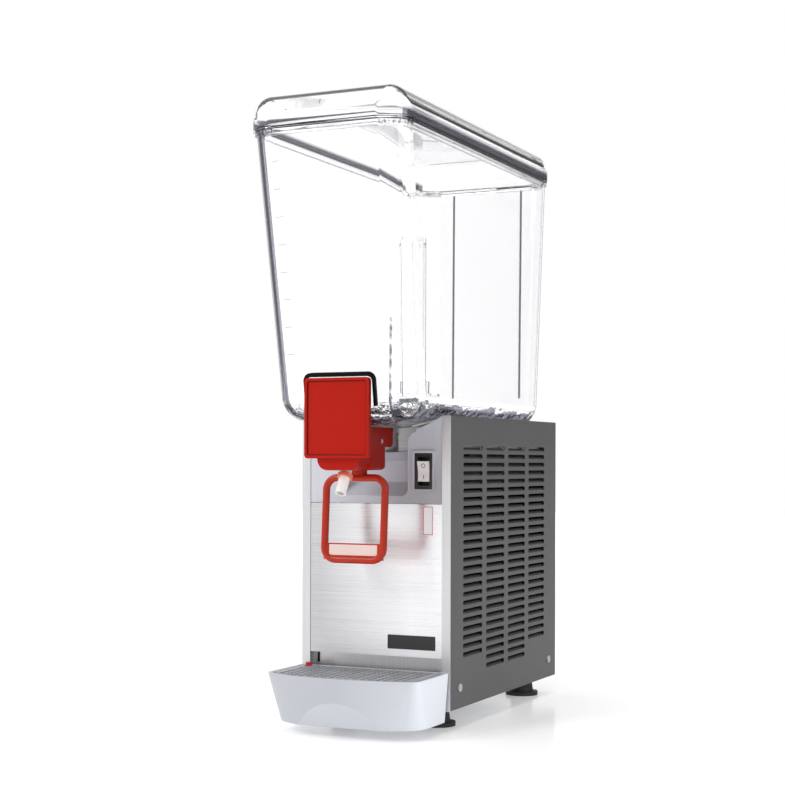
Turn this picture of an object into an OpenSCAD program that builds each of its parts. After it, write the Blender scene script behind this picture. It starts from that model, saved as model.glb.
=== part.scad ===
// Refrigerated juice dispenser with one clear 20-litre bowl.
// Millimetres. +X is the viewer's right, +Y the back, +Z up. The floor is Z = 0.
// Inside the modules Y = 0 is the front face of the cabinet. at_frame() then centres the whole on the origin.

/* [Cabinet] */
// Width over the side panels
cab_w = 180; // [176:1:190]
// Depth from the front posts to the rear panel
cab_d = 336; // [330:1:350]
// Height of the cabinet's underside above the floor
cab_z0 = 22; // [18:1:26]
// Height of the side panels' top edge
cab_z1 = 340; // [336:1:344]
// Thickness of the sheet metal
sheet = 1.2; // [1:0.1:1.5]
// Width of each steel post at the front corners
post_w = 10; // [8:0.5:12]
// Height of the joint between the two front panels
split_z = 244.5; // [240:0.5:250]
// Height of the lower front panel's bottom edge
low_z = 78.5; // [76:0.5:82]
// Depth of the recess behind the drip tray
recess_d = 12; // [10:0.5:16]
// Lowest point of the dip in the upper front panel
dip_z = 318; // [314:0.5:322]

/* [Louvers] */
// Length of one louver
louver_l = 56; // [48:1:58]
// Height of one louver slot
louver_h = 5.2; // [4.4:0.2:5.6]
// Distance between louver rows
louver_pitch = 9.44; // [9:0.02:9.5]
// Distance between louver columns
louver_col = 67.6; // [66:0.2:69]
// Height of the top louver row
louver_top = 305.8; // [300:0.2:308]
// Rows in the two outer columns
louver_rows = 25; // [20:1:25]

/* [Bowl and lid] */
// Width of the bowl at its rim
bowl_w = 178; // [174:1:182]
// Width of the bowl at its foot
bowl_w_low = 168; // [162:1:170]
// Reach of the bowl's rim in front of the cabinet
bowl_front = 126; // [120:1:130]
// Reach of the bowl's foot in front of the cabinet
bowl_front_low = 79.5; // [77:0.5:81]
// Distance of the rim's back from the cabinet's front
bowl_rear = 320; // [316:1:328]
// Distance of the foot's back from the cabinet's front
bowl_rear_low = 305; // [300:1:310]
// Height of the bowl's rim
rim_z = 637; // [610:1:660]
// Wall thickness of the bowl
bowl_t = 3.5; // [3:0.25:4]
// Height of the lid above the bowl's rim
lid_h = 37; // [34:1:44]

/* [Tap] */
// Width of the red front cover
cover_w = 76; // [72:1:77]
// Height of the cover's bottom edge
cover_z0 = 293.5; // [291:0.5:296]
// Height of the cover's top edge
cover_z1 = 378; // [370:0.5:379]
// Distance of the cover's face from the cabinet's front
cover_y = 93; // [92:0.5:96]
// Diameter of the lever's round bar
bar_d = 8; // [7:0.5:8.5]
// Width of the lever loop between bar centres
loop_w = 70; // [64:1:74]
// Height of the lever loop between bar centres
loop_h = 87.7; // [80:0.5:90]
// Outside diameter of the outlet tube
tube_d = 11.8; // [11:0.1:11.8]

/* [Drip tray] */
// Reach of the tray in front of the cabinet
tray_front = 100; // [96:1:108]
// Height of the tray's rim
tray_z1 = 64; // [62:0.5:66]
// Height of the tray's underside
tray_z0 = 11; // [9:0.5:13]

/* [Hidden] */
$fn = 64;

// Gaps: flat faces that slide past each other, round running fits and loose fits.
gap = 0.3;
run_gap = 0.05;
fit_gap = 0.2;
eps = 0.5;

// The whole in plan.
lid_side = 3;
lid_lip = 5;
lid_over = bowl_front + lid_lip;
lid_back = bowl_rear + lid_side;
lid_w = bowl_w + 2 * lid_side;
gland_out = 10;
gland_in = 32;
gland_x = gland_in - cab_w / 2;
gland_z = 76;
y_centre = (cab_d + gland_out - lid_over) / 2;

// Cabinet, worked out.
half_w = cab_w / 2;
in_w = cab_w - 2 * sheet - 2 * fit_gap;
panel_w = cab_w - 2 * post_w - 2 * fit_gap;
panel_y = 0.6;
panel_t = 2.4;
side_y = 1.6;
pan_h = 34;
pan_y = sheet + fit_gap;
pan_d = cab_d - pan_y - sheet - fit_gap;
ledge_z = 49;
dip_half = half_w - post_w;
dip_rise = cab_z1 - dip_z;
dip_r = (dip_half * dip_half + dip_rise * dip_rise) / (2 * dip_rise);
pocket_w = 78;
pocket_z = 253;
pocket_back = 16;
pocket_top = 302;
pocket_lean_z = 291;
deck_front = 22;
apron_z = 300;
deck_gap = 1.2;
deck_t = 1.8;
pocket_r = 8;
foot_x = 58;
foot_front = 40;
foot_back = cab_d - 34;
screw_z = 45;
screw_ys = [25.6, cab_d - 27.4];
screw_d = 4;
rear_screw_x = half_w - 14;
louver_mid = cab_d / 2 - 3;
louver_inner_rows = louver_rows + 2;
louver_lean = 2.8;
tongue_h = 0.62 * louver_h;

// Switch in the upper panel.
sw_x = 58.5;
sw_z = 280.2;
sw_w = 21;
sw_h = 38.6;
rocker_w = 13.6;
rocker_h = 22;
rocker_turn = 7;

// Bowl, worked out. The floor is a shallow arc between rounded sides.
corner_r = 28;
floor_z = 327.5;
floor_r = 260;
collar_r = 56.5;
pump_y = 98;
cup_r = 50;
cup_top = 352;
seat_z = 322;
gasket_r = 54;
neck_z = 313.5;
neck_d = 22;
neck_bore = 16;
neck_back = 36;
neck_end = -56;
drain_y = 20;
flange_t = 4;
flange_out = 2;
low_y = corner_r - bowl_front_low;
top_y = corner_r - bowl_front;
rim_low = rim_z - flange_t;
foot_z = floor_z + corner_r;
wall_tilt = atan2(low_y - top_y, rim_low - foot_z);
lid_z = rim_z;
band_h = 13;
lid_t = 2.5;
lid_round = 20;
lid_step = 1.5;

// Tap, worked out.
body_w = 50;
body_back = -7;
body_step = -27;
body_front = 5 - cover_y;
body_z0 = 281;
body_step_z = 306;
body_z1 = 327;
body_wall = 3.5;
tub_r = 12;
cavity_front = -50;
tube_y = -66;
tube_bore = 8;
anvil_y = -68.1;
pinch_z0 = 286;
pinch_z1 = 296;
pinch_t = 4;
spout_tilt = 30;
spout_len = 34;
pivot_y = -34;
pivot_z = 312;
pin_d = 5;
arm_x0 = 14.5;
arm_x1 = 20.5;
bar_y = -46.5;
bar_z = 273;
loop_tilt = 3.9;
loop_r = 13;

// Drip tray, worked out.
tray_side = 0.5;
tray_w = cab_w - 2 * tray_side;
tray_wall = 2.5;
tray_back = -0.6;
rim_bow = 18;
rim_r = 11;
sole_bow = 30;
sole_r = 30;
sole_side = 4;
sole_front = 6.5;
facet_z = 38;
facet_tilt = 24;
grille_t = 3;
grille_z = tray_z1 - grille_t - fit_gap;
float_x = 13.5 - tray_w / 2;
float_y = -10.5;

// Height of the bowl's floor at a distance from the middle.
function floor_at(x) = floor_z + floor_r - sqrt(floor_r * floor_r - x * x);

// Centres the machine on the origin.
module at_frame() {
    translate([0, -y_centre, 0])
        children();
}

// Rounded rectangle in plan, w wide and from y0 to y1.
module plan_rect(w, y0, y1, r) {
    for (side = [-1, 1], y = [y0 + r, y1 - r])
        translate([side * (w / 2 - r), y])
            circle(r);
    translate([r - w / 2, y0])
        square([w - 2 * r, y1 - y0]);
    translate([-w / 2, y0 + r])
        square([w, y1 - y0 - 2 * r]);
}

// Rounded rectangle about the origin.
module round_rect(w, h, r) {
    plan_rect(w, -h / 2, h / 2, r);
}

// Rectangle from x0 to x1 and z0 to z1, with its lower corners rounded by r0 and r1.
module tub(x0, x1, z0, z1, r0, r1) {
    translate([x0 + r0, z0])
        square([x1 - x0 - r0 - r1, z1 - z0]);
    translate([x0, z0 + r0])
        square([r0 + eps, z1 - z0 - r0]);
    translate([x1 - r1 - eps, z0 + r1])
        square([r1 + eps, z1 - z0 - r1]);
    translate([x0 + r0, z0 + r0])
        circle(r0);
    translate([x1 - r1, z0 + r1])
        circle(r1);
}

// Slot with round ends, l long and h high, about the origin.
module slot(l, h) {
    square([l - h, h], center = true);
    for (side = [-1, 1])
        translate([side * (l - h) / 2, 0])
            circle(h / 2, $fn = 24);
}

// A box from its two corners.
module block(a, b) {
    translate(a)
        cube(b - a);
}

// Stands a drawing up in the X-Z plane and extrudes it towards the back, from y0 to y1.
module upright(y0, y1) {
    translate([0, y1, 0])
        rotate([90, 0, 0])
            linear_extrude(y1 - y0)
                children();
}

// Stands a drawing up in the Y-Z plane and extrudes it along X, from x0 to x1.
module sideways(x0, x1) {
    translate([x0, 0, 0])
        rotate([90, 0, 90])
            linear_extrude(x1 - x0)
                children();
}

// A round bar or bore along Y.
module bar_y(d, y0, y1) {
    translate([0, y1, 0])
        rotate([90, 0, 0])
            cylinder(d = d, h = y1 - y0);
}

// A round bar or bore along X.
module bar_x(d, x0, x1) {
    translate([x0, 0, 0])
        rotate([0, 90, 0])
            cylinder(d = d, h = x1 - x0);
}

// Rows in one of the four louver columns.
function rows_of(col) = (col == 0 || col == 3) ? louver_rows : louver_inner_rows;

// Centre of a louver column along the panel.
function col_at(col) = louver_mid + (col - 1.5) * louver_col;

// Tongues of one louver column, in section: each leans inwards from the lower edge of its slot.
module louver_tongues(rows, top) {
    for (row = [0 : rows - 1])
        translate([0, top - row * louver_pitch - louver_h / 2 - 0.4])
            polygon([[0, 0], [sheet, 0], [sheet - louver_lean, tongue_h], [-louver_lean, tongue_h]]);
}

// Cabinet

module base_pan() {
    color("gainsboro")
        at_frame()
            difference() {
                block([-in_w / 2, pan_y, cab_z0], [in_w / 2, pan_y + pan_d, cab_z0 + pan_h]);
                block([sheet - in_w / 2, pan_y + sheet, cab_z0 + sheet],
                    [in_w / 2 - sheet, pan_y + pan_d - sheet, cab_z0 + pan_h + 1]);
                // The front wall is low, to leave the tray's ledge free.
                block([-in_w / 2 - 1, 0, cab_z0 + 14], [in_w / 2 + 1, 24, cab_z0 + pan_h + 1]);
                for (side = [-1, 1], y = [foot_front, foot_back])
                    translate([side * foot_x, y, cab_z0 - 1])
                        cylinder(d = 8, h = sheet + 2);
                for (y = screw_ys)
                    translate([0, y, screw_z])
                        bar_x(screw_d + 2 * fit_gap, -half_w, half_w);
                for (side = [-1, 1])
                    translate([side * rear_screw_x, 0, screw_z])
                        bar_y(screw_d + 2 * fit_gap, cab_d - 20, cab_d);
                for (x = [-30, 0, 30])
                    translate([x, cab_d / 2, cab_z0 - 1])
                        linear_extrude(sheet + 2)
                            rotate(90)
                                slot(70, 8);
            }
}

module rubber_feet() {
    color("#1b1b1d")
        at_frame()
            for (side = [-1, 1], y = [foot_front, foot_back])
                translate([side * foot_x, y, 0]) {
                    cylinder(d = 40, h = 4.5);
                    cylinder(d1 = 30, d2 = 24, h = cab_z0);
                    cylinder(d = 7.6, h = cab_z0 + 8);
                    translate([0, 0, cab_z0 + sheet])
                        cylinder(d = 14, h = 5);
                }
}

module front_frame() {
    color("#e6e7ea")
        at_frame()
            difference() {
                union() {
                    for (side = [0, 1])
                        mirror([side, 0, 0]) {
                            block([half_w - post_w, 0, cab_z0], [half_w, sheet, cab_z1]);
                            block([half_w - 2 * sheet - 2 * fit_gap, 0, cab_z0 + 36],
                                [half_w - sheet - fit_gap, 20, cab_z1 - 6]);
                            block([half_w - post_w, 0, cab_z0 + 15], [half_w - post_w + sheet, recess_d + sheet, cab_z1 - 12]);
                        }
                    block([post_w - half_w, 0, cab_z0], [half_w - post_w, sheet, ledge_z]);
                    block([post_w - half_w, 0, ledge_z - sheet], [half_w - post_w, recess_d + sheet, ledge_z]);
                    block([post_w - half_w, recess_d, ledge_z - sheet], [half_w - post_w, recess_d + sheet, low_z - 0.6]);
                }
                // Slots for the tray's hooks: one in the left post's return, one in the back of the recess.
                block([post_w - half_w - 1, 4, low_z - 13], [post_w - half_w + sheet + 1, 7, low_z - 1.6]);
                translate([post_w - half_w + 4.8, 0, 0])
                    block([-1.4, recess_d - 1, low_z - 13], [1.4, recess_d + sheet + 1, low_z - 1.6]);
            }
}

module front_lower_panel() {
    z1 = split_z - fit_gap;
    color("#d9dade")
        at_frame() {
            block([-panel_w / 2, panel_y, low_z], [panel_w / 2, panel_y + sheet, z1]);
            block([-panel_w / 2, panel_y, low_z], [panel_w / 2, recess_d + panel_y, low_z + sheet]);
            block([-panel_w / 2, panel_y, z1 - sheet], [panel_w / 2, 9, z1]);
            for (side = [0, 1])
                mirror([side, 0, 0])
                    block([panel_w / 2 - 2 * sheet - gap, panel_y, low_z + 2], [panel_w / 2 - sheet - gap, 9, z1 - 2]);
        }
}

// The pocket's section: a back wall, a bottom that slopes up into it and a top that leans away.
module pocket_section(t) {
    polygon([[panel_y - 1, pocket_z - t], [panel_y, pocket_z - t], [pocket_back + t, pocket_z + 15 - t],
        [pocket_back + t, pocket_lean_z], [pocket_back + t + 3.4, pocket_top], [panel_y - 1, pocket_top]]);
}

// The pocket from the front, grown by t.
module pocket_outline(t) {
    tub(-pocket_w / 2 - t, pocket_w / 2 + t, pocket_z - t, cab_z1, pocket_r + t, pocket_r + t);
}

// Rounds the corner where the notch runs into the dip.
module notch_corner() {
    r = 10;
    z = dip_z + dip_r - sqrt(dip_r * dip_r - pocket_w * pocket_w / 4) - r;
    difference() {
        translate([pocket_w / 2 - eps, z])
            square([r + eps, r + 3]);
        translate([pocket_w / 2 + r, z])
            circle(r);
    }
}

module front_upper_panel() {
    z0 = split_z + fit_gap;
    z_mid = (cab_z1 - 1 + z0) / 2;
    color("#b9bbc1")
        at_frame()
            difference() {
                union() {
                    upright(panel_y, panel_y + panel_t)
                        translate([0, z_mid])
                            square([panel_w, cab_z1 - 1 - z0], center = true);
                    // Walls of the pocket behind the tap.
                    intersection() {
                        sideways(-pocket_w / 2 - panel_t, pocket_w / 2 + panel_t)
                            pocket_section(panel_t);
                        upright(panel_y, 60)
                            pocket_outline(panel_t);
                    }
                    // Raised frame round the switch.
                    upright(panel_y - 2.4, panel_y + 1)
                        translate([sw_x, sw_z])
                            round_rect(sw_w + 5.4, sw_h + 6, 2.5);
                    // Stiffening flanges.
                    block([-panel_w / 2, panel_y, z0], [panel_w / 2, 9, z0 + 2]);
                }
                intersection() {
                    sideways(-pocket_w / 2, pocket_w / 2)
                        pocket_section(0);
                    upright(-2, 60)
                        pocket_outline(0);
                }
                // Notch above the pocket for the outlet neck, and the dip for the bowl.
                upright(-1, 30)
                    translate([-pocket_w / 2, pocket_top - 1])
                        square([pocket_w, 60]);
                upright(-1, 30)
                    translate([0, dip_z + dip_r])
                        circle(dip_r, $fn = 160);
                for (side = [0, 1])
                    mirror([side, 0, 0])
                        upright(-1, panel_y + panel_t + 1)
                            notch_corner();
                upright(panel_y - 3, panel_y + panel_t + 1)
                    translate([sw_x, sw_z])
                        square([sw_w + 2 * fit_gap, sw_h + 2 * fit_gap], center = true);
            }
}

module side_panel() {
    x0 = half_w - sheet;
    difference() {
        union() {
            difference() {
                sideways(x0, half_w)
                    difference() {
                        translate([side_y, cab_z0 + 0.5])
                            square([cab_d - side_y, cab_z1 - cab_z0 - 0.5]);
                        for (col = [0 : 3], row = [0 : rows_of(col) - 1])
                            translate([col_at(col), louver_top - row * louver_pitch])
                                slot(louver_l, louver_h);
                    }
            }
            for (col = [0 : 3])
                upright(col_at(col) - louver_l / 2 + louver_h / 2, col_at(col) + louver_l / 2 - louver_h / 2)
                    translate([x0, 0])
                        louver_tongues(rows_of(col), louver_top);
            // Folded top edge.
            block([half_w - 9, side_y + 22, cab_z1 - sheet], [half_w, cab_d - 4, cab_z1]);
        }
        for (y = screw_ys)
            translate([0, y, screw_z])
                bar_x(screw_d + 2 * fit_gap, x0 - 1, half_w + 1);
    }
}

module right_side_panel() {
    color("#6b6c70")
        at_frame()
            side_panel();
}

module left_side_panel() {
    color("#6b6c70")
        at_frame()
            mirror([1, 0, 0])
                side_panel();
}

module rear_panel() {
    rows = 18;
    top = 250;
    y0 = cab_d - sheet;
    color("#6b6c70")
        at_frame() {
            difference() {
                upright(y0, cab_d)
                    difference() {
                        translate([-in_w / 2, cab_z0 + 0.5])
                            square([in_w, cab_z1 - cab_z0 - 2]);
                        for (side = [-1, 1], row = [0 : rows - 1])
                            translate([side * 35, top - row * louver_pitch])
                                slot(louver_l, louver_h);
                        translate([gland_x, gland_z])
                            circle(d = 16.4);
                        for (side = [-1, 1], z = [screw_z, cab_z1 - 22])
                            translate([side * rear_screw_x, z])
                                circle(d = screw_d + 2 * fit_gap);
                    }
            }
            for (side = [-1, 1])
                sideways(side * 35 - louver_l / 2 + louver_h / 2, side * 35 + louver_l / 2 - louver_h / 2)
                    translate([y0, 0])
                        louver_tongues(rows, top);
        }
}

// Cradle under the bowl: an arc skin with a hole for the cold cup, a channel for the outlet neck
// and a ribbed apron that closes the front above the pocket.
module top_deck() {
    axis_z = floor_z + floor_r;
    apron_half = pocket_w / 2 + 4;
    color("#eceef0")
        at_frame()
            difference() {
                union() {
                    intersection() {
                        block([-in_w / 2 + sheet + gap, 3 + gap, floor_z - 12],
                            [in_w / 2 - sheet - gap, cab_d - 2 * sheet - gap, cab_z1 - sheet - gap]);
                        translate([0, 0, axis_z])
                            bar_y(2 * (floor_r + deck_gap + deck_t), 0, cab_d, $fn = 240);
                    }
                    block([-apron_half, deck_front, apron_z], [apron_half, deck_front + 1.8, cab_z1 - 8]);
                }
                for (z = [0 : 2])
                    translate([0, 0, apron_z + 5 + 3.7 * z])
                        block([-half_w, deck_front - 1, 0], [half_w, deck_front + 0.8, 1.5]);
                translate([0, 0, axis_z])
                    bar_y(2 * (floor_r + deck_gap), -1, cab_d + 1, $fn = 240);
                translate([0, pump_y, 0])
                    cylinder(r = collar_r + eps, h = cab_z1);
                block([-apron_half, -1, 0], [apron_half, deck_front, cab_z1]);
                block([-18, -1, 0], [18, neck_back + 6, cab_z1]);
                for (side = [-1, 1])
                    block([side * half_w - 12, -1, 0], [side * half_w + 12, 24, cab_z1]);
            }
}

module insulation_block() {
    color("#f0e6c8")
        at_frame()
            difference() {
                block([post_w - half_w, deck_front + 2, apron_z], [half_w - post_w, cab_d - 18, floor_z - 3]);
                translate([0, 0, floor_z + floor_r])
                    bar_y(2 * (floor_r + deck_gap + deck_t + fit_gap), 0, cab_d, $fn = 240);
                translate([0, pump_y, apron_z - 1])
                    cylinder(r = cup_r + 2, h = 60);
                translate([0, pump_y, seat_z - 3])
                    cylinder(r = collar_r + eps, h = 60);
                block([-18, 0, apron_z - 1], [18, neck_back + 6, cab_z1]);
            }
}

// One round-head screw along +X, with a cross recess; the head's underside is at the origin.
module screw() {
    difference() {
        union() {
            bar_x(9, 0, 1.4);
            bar_x(7, 0, 2.2);
            bar_x(screw_d, -9, 1);
        }
        for (turn = [0, 90])
            rotate([turn, 0, 0])
                block([1.2, -2.4, -0.5], [3, 2.4, 0.5]);
    }
}

module panel_screws() {
    color("#c9cacc")
        at_frame() {
            for (side = [0, 1], y = screw_ys)
                mirror([side, 0, 0])
                    translate([half_w, y, screw_z])
                        screw();
            for (side = [-1, 1], z = [screw_z, cab_z1 - 22])
                translate([side * rear_screw_x, cab_d, z])
                    rotate([0, 0, 90])
                        screw();
        }
}

module front_badge() {
    color("#161616")
        at_frame()
            upright(panel_y - 0.8, panel_y)
                translate([44, 94.2])
                    round_rect(56.4, 15.2, 0.8);
}

module switch_body() {
    color("#222224")
        at_frame()
            difference() {
                union() {
                    upright(panel_y - 1.2, panel_y + panel_t)
                        translate([sw_x, sw_z])
                            round_rect(sw_w, sw_h, 1);
                    upright(panel_y, 27)
                        translate([sw_x, sw_z])
                            square([sw_w - 3, sw_h - 5], center = true);
                    for (z = [-8, 0, 8])
                        block([sw_x - 3, 26, sw_z + z - 0.5], [sw_x + 3, 34, sw_z + z + 0.5]);
                }
                upright(-3, 12)
                    translate([sw_x, sw_z])
                        square([rocker_w + 2 * gap, rocker_h + 9], center = true);
            }
}

// Rocker in section about its pivot, seen from the side: two faces that meet in a shallow V.
module rocker_section() {
    polygon([[6, -8], [6, 8], [1, rocker_h / 2], [-3.2, rocker_h / 2], [-1.8, 0], [-3.2, -rocker_h / 2],
        [1, -rocker_h / 2]]);
}

module switch_rocker() {
    color("#e9e4d6")
        at_frame()
            translate([sw_x, 1.5, sw_z])
                rotate([rocker_turn, 0, 0])
                    sideways(-rocker_w / 2, rocker_w / 2)
                        rocker_section();
}

module cord_gland() {
    color("#1e1e20")
        at_frame()
            translate([gland_x, 0, gland_z])
                difference() {
                    union() {
                        bar_y(16, cab_d - 10, cab_d + 1);
                        bar_y(24, cab_d, cab_d + 4);
                        rotate([-90, 0, 0])
                            translate([0, 0, cab_d + 4])
                                cylinder(d = 20, h = gland_out - 4, $fn = 6);
                        bar_y(22, cab_d - sheet - 4, cab_d - sheet);
                    }
                    bar_y(8, cab_d - 12, cab_d + gland_out + 1);
                }
}

// Cooling

comp_y = cab_d - 106;
bend_drop = 18;
coil_z = 301;
drier_y = pump_y + 40;
comp_z = cab_z0 + sheet + 14;
fan_z = 125;

module compressor() {
    color("#26272a")
        at_frame()
            translate([0, comp_y, comp_z]) {
                difference() {
                    translate([-68, -62, 0])
                        cube([136, 124, 3]);
                    for (x = [-58, 58], y = [-52, 52])
                        translate([x, y, -1])
                            cylinder(d = 9, h = 5);
                }
                rotate_extrude($fn = 96) {
                    square([56, 96]);
                    square([34, 118]);
                    translate([34, 96])
                        intersection() {
                            circle(22);
                            square(22);
                        }
                }
                translate([0, 0, 60])
                    rotate_extrude($fn = 96)
                        translate([54, 0])
                            square([5, 4]);
                translate([-30, -20, 40])
                    rotate([90, 0, 0])
                        cylinder(d = 8, h = 44);
                translate([30, -20, 40])
                    rotate([90, 0, 0])
                        cylinder(d = 8, h = 44);
                translate([50, -20, 46])
                    cube([18, 40, 42]);
            }
}

module compressor_grommets() {
    color("#1b1b1d")
        at_frame()
            for (x = [-58, 58], y = [-52, 52])
                translate([x, comp_y + y, cab_z0 + sheet]) {
                    cylinder(d = 22, h = 14);
                    cylinder(d = 8.6, h = 19);
                    translate([0, 0, 17])
                        cylinder(d = 16, h = 3);
                }
}

module condenser() {
    fins = 24;
    color("#3a3b3d")
        at_frame() {
            for (i = [0 : fins - 1])
                block([-58 + i * 5, 28, 54], [-57.2 + i * 5, 52, 194]);
            for (row = [0 : 6], y = [34, 46])
                translate([0, y, 64 + row * 20])
                    bar_x(7, -62, 62);
            for (side = [-1, 1])
                block([side * 61 - 1, 26, 52], [side * 61 + 1, 54, 196]);
            block([-62, 26, 48], [62, 54, 52]);
        }
}

module fan_bracket() {
    color("#8b8d92")
        at_frame() {
            difference() {
                union() {
                    block([-64, 54, 48], [64, 56, 202]);
                    translate([0, 0, fan_z])
                        bar_y(138, 54, 72);
                    for (side = [-1, 1])
                        block([side * 60 - 4, 54, cab_z0 + sheet], [side * 60 + 4, 74, 60]);
                }
                translate([0, 0, fan_z])
                    bar_y(132, 50, 80);
            }
            for (side = [-1, 1])
                block([side * 30 - 3, 84, cab_z0 + sheet], [side * 30 + 3, 88, fan_z + 4]);
            block([-60, 70, cab_z0 + sheet], [60, 88, cab_z0 + sheet + 2]);
        }
}

module fan_motor() {
    color("#55575c")
        at_frame()
            translate([0, 0, fan_z])
                difference() {
                    union() {
                        bar_y(53.4, 90, 126);
                        bar_y(24, 84.6, 130);
                        bar_y(6, 60, 90);
                        block([-34, 88, -8], [34, 92, 8]);
                    }
                }
}

module fan_blade() {
    color("#c8ccd2")
        at_frame()
            translate([0, 68, fan_z])
                difference() {
                    union() {
                        bar_y(30, -7, 9);
                        for (turn = [0 : 72 : 288])
                            rotate([0, turn, 0])
                                translate([36, 0, 0])
                                    rotate([28, 0, 0])
                                        cube([50, 1.6, 26], center = true);
                    }
                    bar_y(6 + 2 * run_gap, -20, 20);
                }
}

module filter_drier() {
    color("#b87333")
        at_frame()
            translate([70, drier_y, 70]) {
                cylinder(d = 20, h = 74);
                translate([0, 0, 74])
                    cylinder(d1 = 20, d2 = 7, h = 10);
                translate([0, 0, -10])
                    cylinder(d1 = 7, d2 = 20, h = 10);
            }
}

// A run of round pipe through the points, each step along one axis, with elbow fittings at the corners.
module pipe_run(points, d) {
    fitting = d + 2;
    for (i = [0 : len(points) - 2]) {
        v = points[i + 1] - points[i];
        turn = v[0] != 0 ? [0, 90, 0] : v[1] != 0 ? [90, 0, 0] : [0, 0, 0];
        translate((points[i] + points[i + 1]) / 2)
            rotate(turn)
                cylinder(d = d, h = norm(v), center = true, $fn = 32);
    }
    for (i = [1 : len(points) - 2])
        translate(points[i])
            cube(fitting, center = true);
}

module refrigerant_pipes() {
    stub_y = comp_y - 64;
    stub_z = comp_z + 40;
    bend_y = stub_y - bend_drop;
    color("#c77a3c")
        at_frame() {
            // Hot gas from the compressor to the top of the condenser.
            pipe_run([[30, stub_y, stub_z], [30, bend_y, stub_z], [30, bend_y, 214], [58, bend_y, 214],
                [58, 46, 214], [70, 46, 214], [70, 46, 184], [62, 46, 184]], 6);
            // Liquid from the condenser to the drier.
            pipe_run([[62, 46, 64], [70, 46, 64], [70, 46, 48], [70, drier_y, 48], [70, drier_y, 60]], 6);
            // Capillary from the drier to the cold coil.
            pipe_run([[70, drier_y, 154], [70, drier_y, 288], [0, drier_y, 288], [0, drier_y, coil_z]], 3);
            // Suction pipe from the cold coil to the compressor.
            pipe_run([[0, pump_y - 40, coil_z], [0, pump_y - 40, 288], [-70, pump_y - 40, 288], [-70, bend_y, 288],
                [-70, bend_y, stub_z], [-30, bend_y, stub_z], [-30, stub_y, stub_z]], 6);
        }
}

module thermostat() {
    color("#d8d8d2")
        at_frame() {
            block([-72, panel_y + panel_t, 262], [-48, 36, 296]);
            translate([-60, 0, 279])
                bar_y(12, 36, 40);
        }
}

module control_box() {
    color("#3c3e44")
        at_frame() {
            block([6 - half_w, cab_d - sheet - 40, 120], [26 - half_w, cab_d - sheet, 200]);
            for (i = [0 : 3])
                translate([26 - half_w, cab_d - sheet - 34 + i * 9, 190])
                    bar_x(5, -1, 3);
        }
}

// Cold cup and pump

// Section of the cold cup: a wall with a rounded shoulder and a flat top.
module cup_section(r, top, shoulder) {
    square([r - shoulder, top]);
    square([r, top - shoulder]);
    translate([r - shoulder, top - shoulder])
        circle(shoulder);
}

module evaporator() {
    skirt_z = 300;
    color("#d4d6d9")
        at_frame()
            translate([0, pump_y, 0]) {
                translate([0, 0, skirt_z])
                    rotate_extrude($fn = 96)
                        difference() {
                            cup_section(cup_r, cup_top - skirt_z, 8);
                            translate([0, -1])
                                cup_section(cup_r - sheet, cup_top - skirt_z - sheet + 1, 7);
                        }
                translate([0, 0, seat_z - 3])
                    difference() {
                        cylinder(r = collar_r, h = 3, $fn = 96);
                        translate([0, 0, -1])
                            cylinder(r = cup_r - 0.6, h = 5, $fn = 96);
                    }
                translate([0, 0, cup_top - 0.6])
                    cylinder(d = 4, h = 9.6);
            }
}

module evaporator_coil() {
    color("#c77a3c")
        at_frame()
            translate([0, pump_y, 0]) {
                for (z = [306 : 9 : 333])
                    translate([0, 0, z])
                        rotate_extrude($fn = 96)
                            translate([40, 0])
                                circle(4, $fn = 32);
                for (side = [-1, 1])
                    translate([0, side * 40, coil_z])
                        cylinder(d = 6, h = 30);
            }
}

module pump_motor() {
    color("#4a4c52")
        at_frame()
            translate([0, pump_y, 0]) {
                translate([0, 0, 232])
                    cylinder(d = 50, h = 62);
                difference() {
                    translate([0, 0, 294])
                        cylinder(d = 68, h = 3);
                    for (turn = [45 : 90 : 315])
                        rotate(turn)
                            translate([29, 0, 290])
                                cylinder(d = 3, h = 10);
                }
                block([-76, -9, 297], [76, 9, 300]);
                translate([0, 0, 290])
                    cylinder(d = 6, h = 46);
            }
}

module drive_magnet() {
    color("#5a5d63")
        at_frame()
            translate([0, pump_y, 0])
                difference() {
                    union() {
                        translate([0, 0, 336])
                            cylinder(d = 44, h = 11);
                        translate([0, 0, 326])
                            cylinder(d = 14, h = 11);
                    }
                    translate([0, 0, 320])
                        cylinder(d = 6 + 2 * run_gap, h = 16 + 2 * run_gap);
                    // Pockets between the magnet poles.
                    for (turn = [0 : 60 : 300])
                        rotate(turn)
                            translate([16, 0, 344])
                                cylinder(d = 5, h = 6);
                }
}

module impeller() {
    color("#2d6aa0")
        at_frame()
            translate([0, pump_y, cup_top + 0.6])
                difference() {
                    union() {
                        cylinder(d = 38, h = 3);
                        cylinder(d = 10, h = 8.4);
                        for (turn = [0 : 60 : 300])
                            rotate(turn)
                                translate([4, -0.9, 0])
                                    cube([14, 1.8, 8]);
                    }
                    translate([0, 0, -1])
                        cylinder(d = 4 + 2 * run_gap, h = 12);
                }
}

// Clear cap over the impeller with inlet arches, and a collar that holds the riser tube.
module pump_cover() {
    color("#dfe6ea")
        at_frame()
            translate([0, pump_y, cup_top])
                difference() {
                    union() {
                        cylinder(d = 58, h = 16);
                        cylinder(d = 35, h = 31);
                    }
                    translate([0, 0, -1])
                        cylinder(d = 52, h = 14);
                    cylinder(d = 21, h = 40);
                    translate([0, 0, 17])
                        cylinder(d = 27 + 2 * run_gap, h = 20);
                    for (turn = [0 : 60 : 300])
                        rotate(turn)
                            translate([24, -6, -1])
                                cube([8, 12, 6]);
                }
}

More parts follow.
